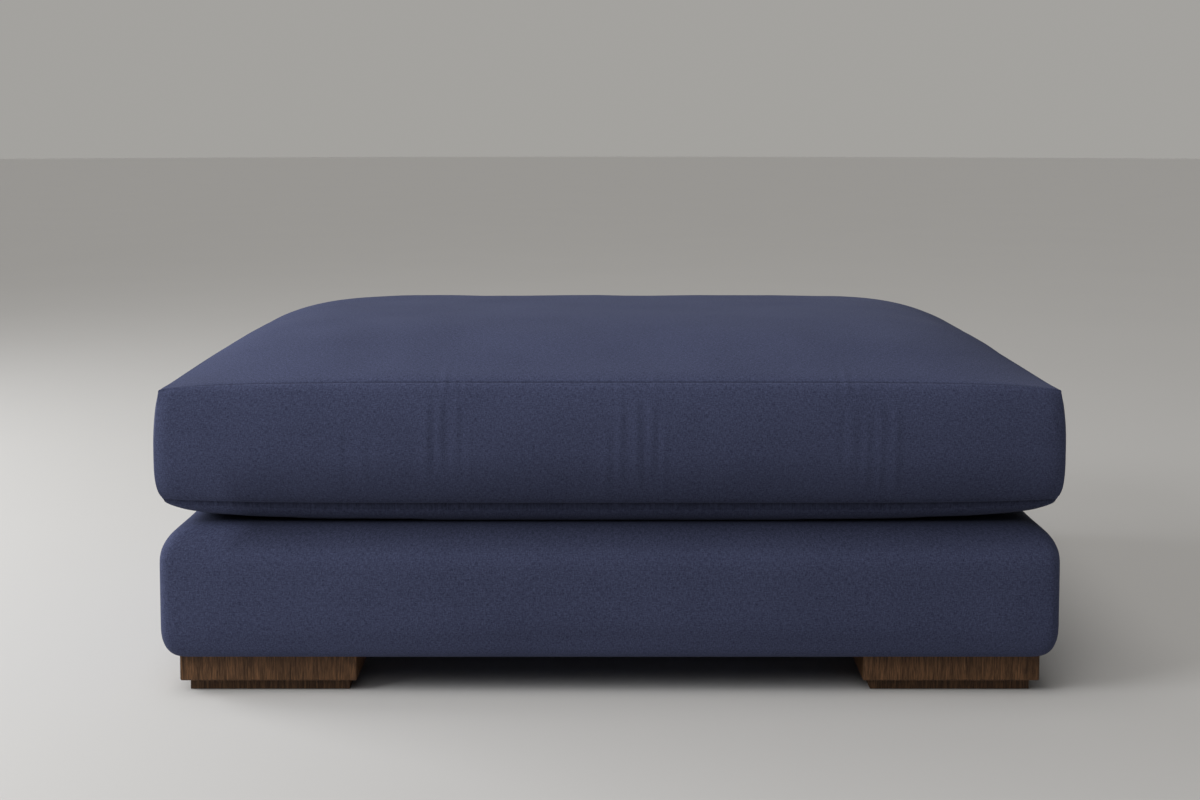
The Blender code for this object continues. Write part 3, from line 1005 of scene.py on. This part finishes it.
def walnut_material(name, settings, grain, painted_darkening):
    """Dark oiled walnut with upright grain."""
    material, tree, shader = new_material(name)
    coords = add_node(tree, "ShaderNodeTexCoord")
    figure = use_group(tree, grain, {"Vector": coords.outputs["Object"], "Band Width": GRAIN_BAND_WIDTH})
    # A factor below 1 paints shade into the wood's colour, for the recessed plinths.
    dark = (*[c * painted_darkening for c in settings.dark], 1)
    light = (*[c * painted_darkening for c in settings.light], 1)
    colour = blend_colours(tree, figure.outputs["Bands"], dark, light)
    colour = blend_colours(tree, calc(tree, "MULTIPLY", figure.outputs["Pores"], PORE_SHARE), colour, dark)
    tree.links.new(colour, shader.inputs["Base Color"])
    dullest, smoothest = settings.roughness + WOOD_DULLER, settings.roughness - WOOD_SMOOTHER
    rough = remap(tree, figure.outputs["Bands"], 0.0, 1.0, dullest, smoothest)
    tree.links.new(rough, shader.inputs["Roughness"])
    bump = add_node(tree, "ShaderNodeBump", {"Height": figure.outputs["Height"], **WOOD_BUMP})
    tree.links.new(bump.outputs[0], shader.inputs["Normal"])
    shader.inputs["Specular IOR Level"].default_value = WOOD_SPECULAR
    return material


def dress(piece, material):
    piece.data.materials.clear()
    piece.data.materials.append(material)


# ---- operators ----


class OTTOMAN_OT_cushion(bpy.types.Operator):
    """Make the loose boxed cushion"""

    bl_idname = "ottoman.cushion"
    bl_label = "Make Cushion"

    def execute(self, context):
        piece = make_cushion(context.scene.ottoman_cushion)
        dress(piece, cloth_material("cushion_navy_cloth", context.scene.ottoman_cloth, seamed=True))
        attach(piece, BODY)
        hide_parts("cushion")
        return {"FINISHED"}


class OTTOMAN_OT_base(bpy.types.Operator):
    """Make the upholstered base"""

    bl_idname = "ottoman.base"
    bl_label = "Make Base"

    def execute(self, context):
        piece = make_base(context.scene.ottoman_base)
        dress(piece, cloth_material("base_navy_cloth", context.scene.ottoman_cloth, seamed=False))
        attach(piece, BODY)
        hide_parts("base")
        return {"FINISHED"}


class OTTOMAN_OT_feet(bpy.types.Operator):
    """Finish the block feet and their plinths in walnut"""

    bl_idname = "ottoman.feet"
    bl_label = "Finish Feet"

    def execute(self, context):
        settings = context.scene.ottoman_wood
        grain = shared_group("Straight Grain", wood_grain)
        block = walnut_material("block_walnut", settings, grain, 1.0)
        # The plinths get a copy of the walnut with painted shade, for their recess under the blocks.
        plinth = walnut_material("plinth_walnut", settings, grain, settings.plinth_painted_shade)
        for name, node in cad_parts.items():
            if name.startswith("foot_block"):
                dress(node, block)
            elif name.startswith("foot_plinth"):
                dress(node, plinth)
        return {"FINISHED"}


def add_light(kind, name, colour, location, towards):
    bpy.ops.object.select_all(action="DESELECT")
    bpy.ops.object.light_add(type=kind, location=location)
    light = bpy.context.object
    light.name = light.data.name = name
    light.data.color = colour
    light.rotation_euler = Vector(towards).to_track_quat("-Z", "Y").to_euler()
    light.visible_camera = False
    return light


def add_soft_light(name, power, location, size):
    """A square panel of cool daylight turned to the ottoman."""
    light = add_light("AREA", name, DAYLIGHT, location, Vector(LIGHT_TARGET) - Vector(location))
    light.data.shape, light.data.size, light.data.energy = "SQUARE", size, power


def add_far_light(name, strength, colour, source):
    """Even light from a wide part of the room, in the direction of source."""
    light = add_light("SUN", name, colour, Vector(source) * FAR_LIGHT_DISTANCE, -Vector(source))
    light.data.energy, light.data.angle = strength, FAR_LIGHT_SPREAD


def make_room(settings):
    """The world's light: dim all round, pale low down behind the ottoman."""
    world = bpy.data.worlds.new("room")
    world.use_nodes = True
    tree = world.node_tree
    direction = add_node(tree, "ShaderNodeTexCoord").outputs["Generated"]
    split = add_node(tree, "ShaderNodeSeparateXYZ", {0: direction})
    behind = remap(tree, split.outputs[1], -0.1, 0.6, 0.0, 1.0)
    low_down = remap(tree, split.outputs[2], 0.6, 0.3, 0.0, 1.0)
    share = calc(tree, "MULTIPLY", behind, low_down)
    colour = blend_colours(tree, share, (*settings.room, 1), (*settings.wall, 1))
    tree.links.new(colour, tree.nodes["Background"].inputs["Color"])
    return world


class OTTOMAN_OT_stage(bpy.types.Operator):
    """Lay the floor, hang the lights and stand the camera"""

    bl_idname = "ottoman.stage"
    bl_label = "Make Stage"

    def execute(self, context):
        scene, settings = context.scene, context.scene.ottoman_stage
        bpy.ops.object.select_all(action="DESELECT")
        bpy.ops.mesh.primitive_circle_add(
            vertices=96, radius=FLOOR_RADIUS, fill_type="NGON", location=(0, 0, 0)
        )
        floor = bpy.context.object
        floor.name = floor.data.name = "floor"
        material, tree, shader = new_material("pale_floor")
        coords = add_node(tree, "ShaderNodeTexCoord")
        patches = noise(tree, coords.outputs["Object"], FLOOR_PATCH_SCALE, detail=3.0).outputs[0]
        darker = (*[c * FLOOR_PATCH_SHADE for c in settings.floor], 1)
        shade = blend_colours(tree, patches, darker, (*settings.floor, 1))
        tree.links.new(shade, shader.inputs["Base Color"])
        shader.inputs["Roughness"].default_value = FLOOR_ROUGHNESS
        shader.inputs["Specular IOR Level"].default_value = FLOOR_SPECULAR
        dress(floor, material)

        scene.world = make_room(settings)
        add_soft_light("window", settings.window_power, WINDOW_PLACE, WINDOW_SIZE)
        add_soft_light("side", settings.side_power, SIDE_PLACE, SIDE_SIZE)
        add_far_light("ceiling", settings.ceiling_strength, CEILING_COLOUR, CEILING_SOURCE)
        add_far_light("front", settings.front_strength, FRONT_COLOUR, FRONT_SOURCE)

        bpy.ops.object.camera_add(location=settings.camera)
        camera = bpy.context.object
        camera.name = camera.data.name = "camera"
        camera.rotation_euler = (math.pi / 2 - settings.pitch, 0, 0)
        camera.data.lens = settings.lens
        camera.data.sensor_width = SENSOR_WIDTH
        camera.data.shift_x = (PHOTO_WIDTH / 2 - OPTICAL_COLUMN) / PHOTO_WIDTH
        camera.data.shift_y = settings.shift
        scene.camera = camera
        scene.view_settings.view_transform = "Standard"
        return {"FINISHED"}


class OTTOMAN_PT_panel(bpy.types.Panel):
    bl_label = "Ottoman"
    bl_idname = "OTTOMAN_PT_panel"
    bl_space_type = "VIEW_3D"
    bl_region_type = "UI"
    bl_category = "Ottoman"

    def draw(self, context):
        for operator, group in STEPS:
            box = self.layout.box()
            box.operator(operator)
            settings = getattr(context.scene, group)
            for name in settings.__annotations__:
                box.prop(settings, name)


STEPS = (
    ("ottoman.cushion", "ottoman_cushion"),
    ("ottoman.base", "ottoman_base"),
    ("ottoman.feet", "ottoman_wood"),
    ("ottoman.stage", "ottoman_stage"),
)

CLASSES = (
    OttomanCushionSettings,
    OttomanBaseSettings,
    OttomanClothSettings,
    OttomanWoodSettings,
    OttomanStageSettings,
    OTTOMAN_OT_cushion,
    OTTOMAN_OT_base,
    OTTOMAN_OT_feet,
    OTTOMAN_OT_stage,
    OTTOMAN_PT_panel,
)


def register():
    for cls in CLASSES:
        bpy.utils.register_class(cls)
    bpy.types.Scene.ottoman_cushion = PointerProperty(type=OttomanCushionSettings)
    bpy.types.Scene.ottoman_base = PointerProperty(type=OttomanBaseSettings)
    bpy.types.Scene.ottoman_cloth = PointerProperty(type=OttomanClothSettings)
    bpy.types.Scene.ottoman_wood = PointerProperty(type=OttomanWoodSettings)
    bpy.types.Scene.ottoman_stage = PointerProperty(type=OttomanStageSettings)


def unregister():
    del bpy.types.Scene.ottoman_stage
    del bpy.types.Scene.ottoman_wood
    del bpy.types.Scene.ottoman_cloth
    del bpy.types.Scene.ottoman_base
    del bpy.types.Scene.ottoman_cushion
    for cls in reversed(CLASSES):
        bpy.utils.unregister_class(cls)


def main():
    register()
    bpy.ops.ottoman.cushion()
    bpy.ops.ottoman.base()
    bpy.ops.ottoman.feet()
    bpy.ops.ottoman.stage()


if __name__ == "__main__":
    main()
